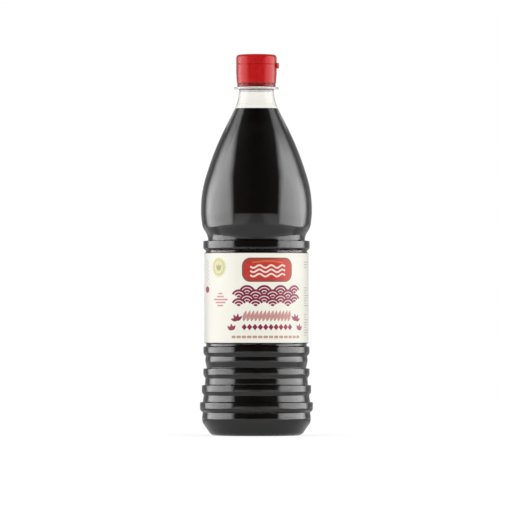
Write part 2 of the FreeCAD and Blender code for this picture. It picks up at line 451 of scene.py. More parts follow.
def close_tree(graph: Graph, geometry: Any, material: Any, output: Any) -> bpy.types.NodeTree:
    """Ends a geometry tree in Realize Instances and Set Material.

    Args:
        graph: The tree's graph.
        geometry: The socket that holds the finished geometry.
        material: The socket that holds the material.
        output: The tree's output node.

    Returns:
        The finished tree.
    """
    real = graph.add("GeometryNodeRealizeInstances", {"Geometry": geometry})
    dressed = graph.add("GeometryNodeSetMaterial",
                        {"Geometry": real.outputs[0], "Material": material})
    graph.feed(output.inputs[0], dressed.outputs[0])
    return graph.tree


def lathe_tree() -> bpy.types.NodeTree:
    """Turns a line of points round Z: row after row of a grid is laid on the turned points.

    Returns:
        The geometry tree.
    """
    graph, given, output = new_tree("turned_on_the_axis", [
        ("Segments", "NodeSocketInt", 96), ("Material", "NodeSocketMaterial", None)])
    line = given.outputs["Geometry"]
    count = graph.add("GeometryNodeAttributeDomainSize", {"Geometry": line})
    points = count.outputs["Point Count"]
    grid = graph.add("GeometryNodeMeshGrid", {
        "Size X": 1.0, "Size Y": 1.0, "Vertices X": points,
        "Vertices Y": graph.plus(given.outputs["Segments"], 1.0)})
    where = graph.add("GeometryNodeInputPosition").outputs[0]
    parts = graph.parts(where)
    along = graph.times(graph.plus(parts["X"], 0.5), graph.plus(points, -1.0))
    angle = graph.times(graph.plus(parts["Y"], 0.5), math.tau)
    picked = graph.add("GeometryNodeSampleIndex", {
        "Geometry": line, "Value": where, "Index": graph.maths("ROUND", along)},
        data_type="FLOAT_VECTOR", domain="POINT")
    mark = graph.parts(picked.outputs[0])
    laid = graph.add("GeometryNodeSetPosition", {
        "Geometry": grid.outputs["Mesh"],
        "Position": graph.vector(X=graph.times(mark["X"], graph.maths("COSINE", angle)),
                                 Y=graph.times(mark["X"], graph.maths("SINE", angle)),
                                 Z=mark["Z"])})
    welded = graph.add("GeometryNodeMergeByDistance", {
        "Geometry": laid.outputs[0], "Distance": WELD})
    return close_tree(graph, welded.outputs[0], given.outputs["Material"], output)


def ring_tree() -> bpy.types.NodeTree:
    """Puts copies of a shape round Z, each turned to face outwards.

    Returns:
        The geometry tree.
    """
    graph, given, output = new_tree("copies_round_the_axis", [
        ("Count", "NodeSocketInt", 12), ("Radius", "NodeSocketFloat", 0.01),
        ("Material", "NodeSocketMaterial", None)])
    count = given.outputs["Count"]
    circle = graph.add("GeometryNodeMeshCircle", {
        "Vertices": count, "Radius": given.outputs["Radius"]})
    index = graph.add("GeometryNodeInputIndex").outputs[0]
    angle = graph.maths("DIVIDE", graph.times(index, math.tau), count)
    copies = graph.add("GeometryNodeInstanceOnPoints", {
        "Points": circle.outputs["Mesh"], "Instance": given.outputs["Geometry"],
        "Rotation": graph.vector(Z=angle)})
    return close_tree(graph, copies.outputs[0], given.outputs["Material"], output)


def wrap_tree() -> bpy.types.NodeTree:
    """Repeats a flat shape on a staggered grid, gives it a thickness and wraps it round Z.

    Returns:
        The geometry tree.
    """
    number_of, length = "NodeSocketInt", "NodeSocketFloat"
    graph, given, output = new_tree("wrapped_round_the_axis", [
        ("Radius", length, 0.04), ("Thickness", length, 0.0001), ("Columns", number_of, 1),
        ("Rows", number_of, 1), ("Column Pitch", length, 0.0), ("Row Pitch", length, 0.0),
        ("Stagger", length, 0.0), ("Lap Start", length, 1.0), ("Lap End", length, 2.0),
        ("Lap Rise", length, 0.0), ("Material", "NodeSocketMaterial", None)])
    value = given.outputs
    index = graph.add("GeometryNodeInputIndex").outputs[0]
    row = graph.maths("FLOOR", graph.maths("DIVIDE", graph.plus(index, 0.5), value["Columns"]))
    column = graph.maths("SUBTRACT", index, graph.times(row, value["Columns"]))
    odd = graph.times(graph.maths("MODULO", row, 2.0), value["Stagger"])
    spots = graph.add("GeometryNodePoints", {
        "Count": graph.times(value["Columns"], value["Rows"]),
        "Position": graph.vector(X=graph.times(graph.plus(column, odd), value["Column Pitch"]),
                                 Y=graph.times(row, value["Row Pitch"]))})
    copies = graph.add("GeometryNodeInstanceOnPoints", {
        "Points": spots.outputs[0], "Instance": value["Geometry"]})
    sheet = graph.add("GeometryNodeRealizeInstances", {"Geometry": copies.outputs[0]}).outputs[0]
    raised = graph.add("GeometryNodeExtrudeMesh", {
        "Mesh": sheet, "Offset Scale": value["Thickness"], "Individual": False})
    back = graph.add("GeometryNodeFlipFaces", {"Mesh": sheet})
    both = graph.add("GeometryNodeJoinGeometry")
    graph.feed(both.inputs[0], raised.outputs["Mesh"])
    graph.feed(both.inputs[0], back.outputs[0])
    welded = graph.add("GeometryNodeMergeByDistance", {
        "Geometry": both.outputs[0], "Distance": WELD})
    parts = graph.parts(graph.add("GeometryNodeInputPosition").outputs[0])
    lap = graph.mapped(parts["X"], value["Lap Start"], value["Lap End"], 0.0,
                       value["Lap Rise"], smooth=True)
    angle = graph.maths("DIVIDE", parts["X"], value["Radius"])
    reach = graph.plus(value["Radius"], parts["Z"], lap)
    laid = graph.add("GeometryNodeSetPosition", {
        "Geometry": welded.outputs[0],
        "Position": graph.vector(X=graph.times(reach, graph.maths("SINE", angle)),
                                 Y=graph.times(reach, graph.maths("COSINE", angle), -1.0),
                                 Z=parts["Y"])})
    return close_tree(graph, laid.outputs[0], value["Material"], output)


LATHE = lathe_tree()
RING = ring_tree()
WRAP = wrap_tree()


def turned(name: str, outline: Loop, segments: int,
           material: bpy.types.Material) -> bpy.types.Object:
    """A smooth closed piece made by turning an outline round Z.

    Args:
        name: The piece's name.
        outline: Points from the axis or back to the start, in millimetres.
        segments: How many steps go round.
        material: Its finish.

    Returns:
        The piece.
    """
    vertices = [(p.real * MM, 0.0, p.imag * MM) for p in outline]
    edges = [(i, i + 1) for i in range(len(vertices) - 1)]
    line = mesh_object(name, vertices, edges)
    return tidy_normals(run_tree(line, LATHE, {"Segments": segments, "Material": material}))


def sector(name: str, section: Loop, half_angle: float, facing: float, steps: int,
           end_share: float, material: bpy.types.Material) -> bpy.types.Object:
    """A short block swept along an arc round Z, with ends that round off.

    Args:
        name: The piece's name.
        section: Closed outline of the block, radius + 1j * height, in millimetres.
        half_angle: Half of the angle that it covers, in radians.
        facing: Direction of its middle, in radians from +X.
        steps: How many steps go along it.
        end_share: How much of its section is left at the two ends.
        material: Its finish.

    Returns:
        The piece.
    """
    middle = sum(section) / len(section)
    root = complex(min(p.real for p in section), middle.imag)
    rings = []
    for step in range(steps + 1):
        place = 2 * step / steps - 1
        size = end_share + (1 - end_share) * math.sqrt(max(0.0, 1 - abs(place) ** 5))
        angle = facing + half_angle * place
        ring = [root + (p - root) * size for p in section]
        rings.append([(p.real * MM * math.cos(angle), p.real * MM * math.sin(angle),
                       p.imag * MM) for p in ring])
    count = len(section)
    faces: list[Sequence[int]] = [
        (a * count + b, a * count + (b + 1) % count,
         (a + 1) * count + (b + 1) % count, (a + 1) * count + b)
        for a in range(steps) for b in range(count)]
    faces += [tuple(range(count)), tuple(range(steps * count, (steps + 1) * count))]
    made = mesh_object(name, [v for ring in rings for v in ring], faces=faces)
    made.data.materials.append(material)
    return tidy_normals(made)


def rounded_box(low: complex, high: complex, rounding: float, arc: int = 5) -> Loop:
    """Closed outline of a rectangle with round corners.

    Args:
        low: Its lower left corner.
        high: Its upper right corner.
        rounding: Radius of its corners.
        arc: Steps in each corner.

    Returns:
        The outline.
    """
    corners = [(complex(high.real, low.imag), -1 + 1j, -90), (high, -1 - 1j, 0),
               (complex(low.real, high.imag), 1 - 1j, 90), (low, 1 + 1j, 180)]
    return [corner + inward * rounding
            + rounding * cmath.exp(1j * math.radians(start + 90 * k / arc))
            for corner, inward, start in corners for k in range(arc + 1)]


def settle(piece: bpy.types.Object, slot: Slot, *nodes: str) -> None:
    """Lets a finished piece ride on the body, for its nodes.

    Args:
        piece: The finished piece.
        slot: The record's material slot. Not used.
        *nodes: The CAD nodes that it stands for.
    """
    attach(piece, BODY)
    if nodes:
        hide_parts(*nodes)
    LOG.info("%s: %d faces, stands for %s", piece.name, len(piece.data.polygons),
             ", ".join(nodes) or "no node")


# ---- Finishes ----

@dataclass(frozen=True)
class ClearPet:
    """Blown PET: clear, glossy and faintly wavy."""

    name: str = "clear_pet"
    tint: Colour = (0.99, 0.98, 0.965, 1.0)
    ior: float = 1.57
    smoothest: float = 0.012
    roughest: float = 0.035
    wave: float = 0.00004
    clarity: float = 1.0

    def material(self) -> bpy.types.Material:
        """Builds the material.

        Returns:
            The material.
        """
        look = Look(self.name)
        handling = look.noise(35.0, 4.0)
        flow = look.noise(55.0, 1.0, (1.0, 1.0, 0.35))
        return look.dress({
            "Transmission Weight": self.clarity, "IOR": self.ior, "Base Color": self.tint,
            "Roughness": look.between(handling, self.smoothest, self.roughest),
            "Normal": look.bump(flow, self.wave)})


@dataclass(frozen=True)
class DarkSauce:
    """Near-black brown sauce, seen through the wall that it wets."""

    name: str = "dark_sauce"
    deep: Colour = (0.0022, 0.0011, 0.0007, 1.0)
    thin: Colour = (0.0060, 0.0028, 0.0014, 1.0)
    ior: float = 1.38
    gloss: float = 0.05  # low, because no air lies between the sauce and the wall
    smoothest: float = 0.18
    roughest: float = 0.3

    def material(self) -> bpy.types.Material:
        """Builds the material.

        Returns:
            The material.
        """
        look = Look(self.name)
        cloud = look.noise(24.0, 3.0, (1.0, 1.0, 0.5))
        return look.dress({
            "IOR": self.ior, "Specular IOR Level": self.gloss,
            "Base Color": look.blend(cloud, self.deep, self.thin),
            "Roughness": look.between(cloud, self.smoothest, self.roughest)})


@dataclass(frozen=True)
class CoatedPaper:
    """Cream label paper with a thin coat, faint fibres and a warm cast."""

    name: str = "coated_paper"
    cream: Colour = display(250, 248, 237)
    warm: Colour = display(248, 245, 232)
    coat: float = 0.12
    coat_roughness: float = 0.25
    smoothest: float = 0.42
    roughest: float = 0.55

    def material(self) -> bpy.types.Material:
        """Builds the material.

        Returns:
            The material.
        """
        look = Look(self.name)
        cloud = look.noise(30.0, 3.0)
        fibre = look.noise(1400.0, 3.0, (1.0, 1.0, 0.25))
        return look.dress({
            "Coat Weight": self.coat, "Coat Roughness": self.coat_roughness,
            "Base Color": look.blend(cloud, self.cream, self.warm),
            "Roughness": look.between(fibre, self.smoothest, self.roughest),
            "Normal": look.bump(fibre, 0.00002, 0.5)})


@dataclass(frozen=True)
class PrintInk:
    """One printed colour, with the uneven cover of a press."""

    name: str
    colour: Colour
    fade: float = 1.25  # how much lighter the thinnest ink is
    smoothest: float = 0.34
    roughest: float = 0.46

    def material(self) -> bpy.types.Material:
        """Builds the material.

        Returns:
            The material.
        """
        look = Look(self.name)
        grain = look.noise(900.0, 2.0)
        return look.dress({
            "Base Color": look.blend(grain, self.colour, scaled(self.colour, self.fade)),
            "Roughness": look.between(grain, self.smoothest, self.roughest)})


@dataclass(frozen=True)
class MouldedRed:
    """Red polypropylene with the satin of a spark-eroded mould."""

    name: str = "moulded_red"
    full: Colour = display(186, 11, 16)
    rubbed: Colour = display(196, 19, 23)
    smoothest: float = 0.20
    roughest: float = 0.30
    ior: float = 1.49
    gloss: Colour = (1.0, 0.43, 0.43, 1.0)  # tint of what it reflects

    def material(self) -> bpy.types.Material:
        """Builds the material.

        Returns:
            The material.
        """
        look = Look(self.name)
        cloud = look.noise(160.0, 3.0)
        grain = look.noise(3200.0, 2.0)
        return look.dress({
            "IOR": self.ior, "Specular Tint": self.gloss,
            "Base Color": look.blend(cloud, self.full, self.rubbed),
            "Roughness": look.between(cloud, self.smoothest, self.roughest),
            "Normal": look.bump(grain, 0.00001, 0.6)})


# ---- Bottle and sauce ----

@dataclass(frozen=True)
class Shell:
    """The blown bottle: hooped body, label panel, waist, bulb, shoulder and thick neck."""

    body_r: float = 38.7
    wall: float = 0.45
    push_up_h: float = 3.2
    push_up_r: float = 9.0
    push_up_round: float = 3.0
    gate_r: float = 2.2
    gate_drop: float = 0.7
    gate_slope: float = 0.5
    gate_round: float = 0.4
    standing_ring_w: float = 7.0
    heel_h: float = 10.1
    heel_in: float = 6.85
    heel_lower_round: float = 6.0
    heel_upper_round: float = 8.0
    hoop_h: tuple[float, ...] = (7.85, 7.85, 7.5, 7.65)
    hoop_foot_z: float = 17.3
    hoop_out: tuple[float, ...] = (3.38, 2.00, 0.88, 0.82)
    hoop_step_h: float = 0.5
    hoop_flank_h: tuple[float, ...] = (1.6, 2.2, 2.4, 2.2)
    hoop_edge_round: float = 0.35
    hoop_belly_round: float = 3.0
    hoop_band_h: tuple[float, ...] = (4.85, 4.85, 8.7)
    band_out: tuple[float, ...] = (1.78, 1.20, -0.33, -0.35)
    band_foot_in: tuple[float, ...] = (0.0, 0.1, 1.40)
    band_top_in: tuple[float, ...] = (0.45, 0.60, 0.30, 0.60)
    band_fullest: tuple[float, ...] = (0.2, 0.2, 0.66)
    base_band_taper_h: float = 3.6
    crease_round: float = 0.55
    band_round: float = 9.0
    panel_h: float = 67.2
    panel_edge_round: float = 0.2
    panel_edge_h: float = 0.4
    lower_groove_depth: float = 1.2
    upper_groove_depth: float = 0.9
    lower_groove_h: float = 2.25
    upper_groove_h: float = 1.8
    bead_out: float = 0.95
    bead_h: float = 7.0
    bead_flank_h: float = 1.2
    bead_belly_round: float = 2.2
    bead_edge_round: float = 0.4
    waist_depth: float = 2.60
    waist_step_h: float = 0.5
    waist_h: float = 3.3
    waist_round: float = 0.3
    waist_upper_round: float = 10.0
    waist_rise: float = 6.8
    bulb_out: float = 2.63
    bulb_foot_in: float = 1.0
    bulb_foot_h: float = 9.1
    bulb_foot_round: float = 12.0
    bulb_h: float = 17.15
    bulb_lower_round: float = 40.0
    bulb_upper_round: float = 82.0
    shoulder_h: float = 68.2
    knee_rise: float = 32.5
    knee_spread: float = 17.75
    shoulder_round: float = 200.0
    bore_r: float = 10.85
    bore_round: float = 36.0
    neck_wall: float = 2.15
    neck_h: float = 7.9
    neck_round: float = 33.0
    ring_out: float = 3.7
    ring_h: float = 1.7
    ring_round: float = 0.5
    finish_wall: float = 1.55
    finish_round: float = 0.3
    neck_tint: Colour = (0.943, 0.931, 0.902, 1.0)
    neck_ior: float = 1.3  # above the sauce, where a stronger one would darken the edges
    ring_clarity: float = 0.5  # the support ring is a little hazy
    ring_smoothest: float = 0.25
    ring_roughest: float = 0.35
    segments: int = 192

    @property
    def neck_r(self) -> float:
        """Outer radius of the neck."""
        return self.bore_r + self.neck_wall

    @property
    def rim_z(self) -> float:
        """Height of the rim, which is the top of the bottle's node."""
        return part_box("bottle")[1].z / MM

    def hoop_feet(self) -> list[float]:
        """Heights of the feet of the hoops, from the lowest up."""
        return [self.hoop_foot_z + sum(self.hoop_h[:i]) + sum(self.hoop_band_h[:i])
                for i in range(len(self.hoop_h))]

    def hoops(self) -> list[Corner]:
        """Corners of the hoops and of the bands between them.

        Returns:
            Corners from the foot of the lowest hoop up.
        """
        corners = []
        for i, foot in enumerate(self.hoop_feet()):
            crest, top = self.body_r + self.hoop_out[i], foot + self.hoop_h[i]
            below = self.body_r + self.band_out[i] - self.band_top_in[i]
            corners += [(below, foot, self.crease_round),
                        (crest, foot + self.hoop_flank_h[i], self.hoop_belly_round),
                        (crest, top - self.hoop_step_h, self.hoop_edge_round)]
            if i + 1 < len(self.hoop_h):
                full = self.body_r + self.band_out[i + 1]
                fullest_z = top + self.hoop_band_h[i] * self.band_fullest[i]
                corners += [(full - self.band_foot_in[i], top, self.crease_round),
                            (full, fullest_z, self.band_round)]
        return corners

    def upper(self) -> list[Corner]:
        """Corners from the groove under the label up to the foot of the neck.

        Returns:
            Corners from the lower groove up.
        """
        lower = self.body_r - self.lower_groove_depth
        upper = self.body_r - self.upper_groove_depth
        foot = self.hoop_feet()[-1] + self.hoop_h[-1] + self.lower_groove_h
        top = foot + self.panel_h
        bead_foot = top + self.upper_groove_h
        bead = self.body_r + self.bead_out
        waist, waist_z = self.body_r - self.waist_depth, bead_foot + self.bead_h + self.waist_step_h
        bulb = self.body_r + self.bulb_out
        bulb_foot = waist_z + self.waist_h + self.waist_rise
        bulb_low = bulb_foot + self.bulb_foot_h
        bulb_top = bulb_low + self.bulb_h
        knee = self.neck_r + self.knee_spread
        return [
            (lower, foot - self.lower_groove_h, self.crease_round),
            (lower, foot - self.panel_edge_h, self.panel_edge_round),
            (self.body_r, foot, self.panel_edge_round),
            (self.body_r, top, self.panel_edge_round),
            (upper, top + self.panel_edge_h, self.panel_edge_round),
            (upper, bead_foot, self.crease_round),
            (bead, bead_foot + self.bead_flank_h, self.bead_belly_round),
            (bead, bead_foot + self.bead_h, self.bead_edge_round),
            (waist, waist_z, self.waist_round),
            (waist, waist_z + self.waist_h, self.waist_upper_round),
            (bulb - self.bulb_foot_in, bulb_foot, self.bulb_foot_round),
            (bulb, bulb_low, self.bulb_lower_round),
            (bulb, bulb_top, self.bulb_upper_round),
            (knee, bulb_top + self.knee_rise, self.shoulder_round),
            (self.neck_r, bulb_top + self.shoulder_h, self.neck_round),
        ]

    def outside(self) -> list[Corner]:
        """Corners of the body from the middle of the base to the foot of the neck.

        Returns:
            Corners from the axis up.
        """
        band = self.body_r + self.band_out[0]
        heel = band - self.heel_in
        return [
            (0.0, self.push_up_h - self.gate_drop, 0.0),
            (self.gate_r, self.push_up_h - self.gate_drop, self.gate_round),
            (self.gate_r + self.gate_slope, self.push_up_h, self.gate_round),
            (self.push_up_r, self.push_up_h, self.push_up_round),
            (heel - self.standing_ring_w, 0.0, self.push_up_round),
            (heel, 0.0, self.heel_lower_round),
            (band, self.heel_h, self.heel_upper_round),
            (band, self.hoop_foot_z - self.base_band_taper_h, self.band_round),
        ] + self.hoops() + self.upper()

    def inside(self, wall: float, top: float) -> list[Corner]:
        """Corners of the inside at a given wall, from the middle of the base up the bore.

        Args:
            wall: Thickness of the wall.
            top: Height at which the bore ends.

        Returns:
            Corners from the axis up.
        """
        outer = self.outside()
        inner = ROUNDING.moved(outer + [(self.neck_r, outer[-1][1] + self.neck_h, 0.0)], wall)
        cone_foot, cone_top = inner[-3], inner[-2]
        bore = self.bore_r + self.wall - wall
        share = (bore - cone_foot[0]) / (cone_top[0] - cone_foot[0])
        foot_z = cone_foot[1] + share * (cone_top[1] - cone_foot[1])
        return [(0.0, inner[0][1], 0.0)] + inner[1:-2] + [
            (bore, foot_z, self.bore_round), (bore, top, 0.0)]

    def build(self, finish: ClearPet) -> bpy.types.Object:
        """Turns the shell as one closed solid of outer wall, rim and inner wall.

        Args:
            finish: The clear finish.

        Returns:
            The piece.
        """
        outer = self.outside()
        ring_z = outer[-1][1] + self.neck_h
        ring = self.neck_r + self.ring_out
        finish_r = self.bore_r + self.finish_wall
        neck = [
            (self.neck_r, ring_z, self.crease_round),
            (ring, ring_z, self.ring_round),
            (ring, ring_z + self.ring_h, self.ring_round),
            (finish_r, ring_z + self.ring_h, self.ring_round),
            (finish_r, self.rim_z, self.finish_round),
        ]
        inner = self.inside(self.wall, self.rim_z)[::-1]
        inner[0] = (inner[0][0], inner[0][1], self.finish_round)
        outline = ROUNDING.points(outer + neck + inner)
        piece = turned("clear_shell", outline, self.segments, finish.material())
        self.dress_neck(piece, finish, ring_z * MM, (ring - 2 * self.ring_round) * MM)
        return piece

    def dress_neck(self, piece: bpy.types.Object, finish: ClearPet, ring_z: float,
                   ring_r: float) -> None:
        """Gives the neck above the sauce a lighter finish and the support ring a hazy one.

        Args:
            piece: The shell.
            finish: The clear finish of the body.
            ring_z: Height of the ring's foot, in metres.
            ring_r: Radius at which the edge of the ring begins, in metres.
        """
        hazy = replace(finish, name="ring_pet", clarity=self.ring_clarity,
                       smoothest=self.ring_smoothest, roughest=self.ring_roughest)
        gentle = replace(finish, name="neck_pet", ior=self.neck_ior, tint=self.neck_tint)
        first = len(piece.data.materials)
        for extra in (gentle, hazy):
            piece.data.materials.append(extra.material())
        fill_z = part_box("sauce")[1].z
        for face in piece.data.polygons:
            middle = face.center
            if middle.z > ring_z and middle.xy.length > ring_r:
                face.material_index = first + 1
            elif middle.z > fill_z:
                face.material_index = first


@dataclass(frozen=True)
class Sauce:
    """The sauce, which wets the wall up to a short rise at its edge."""

    sunk: float = 0.2  # how far it reaches into the wall, so that no air shows
    rise: float = 0.3
    rise_w: float = 1.4
    steps: int = 8

    def build(self, shell: Shell, finish: DarkSauce) -> bpy.types.Object:
        """Turns the sauce inside the shell.

        Args:
            shell: The bottle that holds it.
            finish: Its finish.

        Returns:
            The piece.
        """
        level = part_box("sauce")[1].z / MM
        brim = level + self.rise
        line = ROUNDING.points(shell.inside(shell.wall - self.sunk, shell.rim_z))
        wetted = [p for p in line if p.imag < brim]
        following = line[len(wetted)]
        share = (brim - wetted[-1].imag) / (following - wetted[-1]).imag
        edge = wetted[-1] + (following - wetted[-1]) * share
        curve = [complex(edge.real - self.sunk - self.rise_w * t, level + self.rise * (1 - t) ** 2)
                 for t in (k / self.steps for k in range(self.steps + 1))]
        outline = wetted + [edge] + curve + [complex(0.0, level)]
        return turned("teriyaki_sauce", outline, shell.segments, finish.material())


# ---- Closure ----

@dataclass(frozen=True)
class Closure:
    """Flip-top closure, shut: skirt, lid, hinge and thumb tab, over a tamper band."""

    wall: float = 2.45
    taper: float = 0.5
    taper_h: float = 8.2
    clearance: float = 0.25
    crown_drop: float = 0.5
    crown_edge_w: float = 7.1
    crown_edge_round: float = 15.0
    crown_round: float = 2.4
    foot_round: float = 0.4
    parting_over_rim: float = 1.3
    parting_w: float = 0.4
    parting_depth: float = 0.45
    edge_round: float = 0.12
    gate_r: float = 1.5
    gate_depth: float = 0.25
    skirt_start_h: float = 4.0  # where the outline starts on the inner face
    hinge_w: float = 11.0
    hinge_sunk: float = 0.1
    hinge_below: float = 0.02  # how far its face lies under the skirt's
    hinge_round: float = 0.1
    hinge_end: float = 0.9
    tab_out: float = 1.75
    tab_w: float = 10.0
    tab_h: float = 4.2
    tab_lap: float = 1.1
    tab_slit: float = 0.3
    tab_round: float = 0.7
    tab_end: float = 0.35  # share of its section that is left at its two ends
    root_share: float = 0.92  # width of its root
    root_in: float = 0.3
    root_drop: float = 0.05
    root_round: float = 0.25
    band_wall: float = 1.4
    band_clearance: float = 0.5
    band_round: float = 0.35
    # painted shade: the cap's red darkened, as if the skirt above shaded the band
    band_painted_shade_red: Colour = display(112, 30, 26)
    bridge_count: int = 12
    bridge_w: float = 0.9
    bridge_h: float = 0.45
    bridge_in: float = 0.5  # how much less deep the bridges are than the band
    bridge_sunk: float = 0.1
    band_rub: float = 1.2  # how much lighter its rubbed parts are
    segments: int = 128

    def outline(self, shell: Shell) -> list[Corner]:
        """Corners of skirt, parting groove, lid and the hollow below the deck.

        Args:
            shell: The bottle that it closes.

        Returns:
            Corners from the inner edge of the foot, round the outside and back.
        """
        foot, top = (corner.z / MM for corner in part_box("cap"))
        inner = shell.bore_r + shell.finish_wall + self.clearance
        outer = inner + self.wall
        low = shell.rim_z + self.parting_over_rim - self.parting_w / 2
        high = low + self.parting_w
        deep = outer - self.parting_depth
        return [
            (inner, foot + self.skirt_start_h, 0.0),
            (inner, foot, self.edge_round),
            (outer - self.taper, foot, self.foot_round),
            (outer, foot + self.taper_h, self.crown_edge_round),
            (outer, low, self.edge_round),
            (deep, low, self.edge_round),
            (deep, high, self.edge_round),
            (outer, high, self.edge_round),
            (outer, top - self.crown_drop, self.crown_round),
            (outer - self.crown_edge_w, top, self.crown_edge_round),
            (self.gate_r + self.gate_depth, top, self.edge_round),
            (self.gate_r, top - self.gate_depth, self.edge_round),
            (0.0, top - self.gate_depth, 0.0),
        ]

    def build(self, shell: Shell, finish: MouldedRed) -> list[bpy.types.Object]:
        """Makes the closure's pieces.

        Args:
            shell: The bottle that it closes.
            finish: The red finish.

        Returns:
            Body, hinge, tab, tamper band and bridges.
        """
        material = finish.material()
        corners = self.outline(shell)
        outer = corners[3][0]
        inner = corners[0][0]
        parting = shell.rim_z + self.parting_over_rim
        outline = ROUNDING.points(corners)
        hollow = [complex(0.0, shell.rim_z), complex(inner, shell.rim_z)]
        body = turned("closure_body", outline[::-1] + hollow[::-1], self.segments, material)
        hinge = sector(
            "closure_hinge",
            rounded_box(complex(outer - self.parting_depth - self.hinge_sunk,
                                parting - self.parting_w),
                        complex(outer - self.hinge_below, parting + self.parting_w),
                        self.hinge_round),
            self.hinge_w / 2 / outer, math.pi, 16, self.hinge_end, material)
        tab_top = parting + self.tab_lap
        tab = sector(
            "closure_thumb_tab",
            rounded_box(complex(outer + self.tab_slit, tab_top - self.tab_h),
                        complex(outer + self.tab_out, tab_top), self.tab_round),
            self.tab_w / 2 / outer, 0.0, 24, self.tab_end, material)
        root = sector(
            "closure_tab_root",
            rounded_box(complex(outer - self.parting_depth, parting + self.parting_w / 2),
                        complex(outer + self.tab_out - self.root_in, tab_top - self.root_drop),
                        self.root_round),
            self.tab_w / 2 / outer * self.root_share, 0.0, 24, self.tab_end, material)
        # the band's finish is the cap's red with painted shade
        band_painted_shade = replace(finish, name="moulded_red_band_painted_shade", full=self.band_painted_shade_red,
                         rubbed=scaled(self.band_painted_shade_red, self.band_rub))
        band = self.tamper_band(shell, band_painted_shade.material())
        return [body, hinge, tab, root] + band

    def tamper_band(self, shell: Shell, material: bpy.types.Material) -> list[bpy.types.Object]:
        """Makes the tamper band and the bridges that join it to the skirt.

        Args:
            shell: The bottle that it stands on.
            material: The red finish, darkened with painted shade.

        Returns:
            The band and its bridges.
        """
        foot, top = (corner.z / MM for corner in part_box("tamper_band"))
        top -= self.bridge_h
        inner = shell.bore_r + shell.finish_wall + self.band_clearance
        outer = inner + self.band_wall
        ring = rounded_box(complex(inner, foot), complex(outer, top), self.band_round)
        band = turned("tamper_band_ring", ring + ring[:1], self.segments, material)
        half_r, half_w = (self.band_wall - self.bridge_in) / 2 * MM, self.bridge_w / 2 * MM
        low = (top - self.band_round) * MM
        high = (top + self.bridge_h + self.bridge_sunk) * MM
        points = [(x * half_r, y * half_w, z) for z in (low, high)
                  for x, y in ((-1, -1), (1, -1), (1, 1), (-1, 1))]
        sides = [(0, 3, 2, 1), (4, 5, 6, 7), (0, 1, 5, 4), (1, 2, 6, 5), (2, 3, 7, 6), (3, 0, 4, 7)]
        bridge = mesh_object("tamper_bridges", points, faces=sides)
        bridges = run_tree(bridge, RING, {
            "Count": self.bridge_count, "Radius": (inner + outer) / 2 * MM,
            "Material": material})
        return [band, bridges]


# ---- Label ----

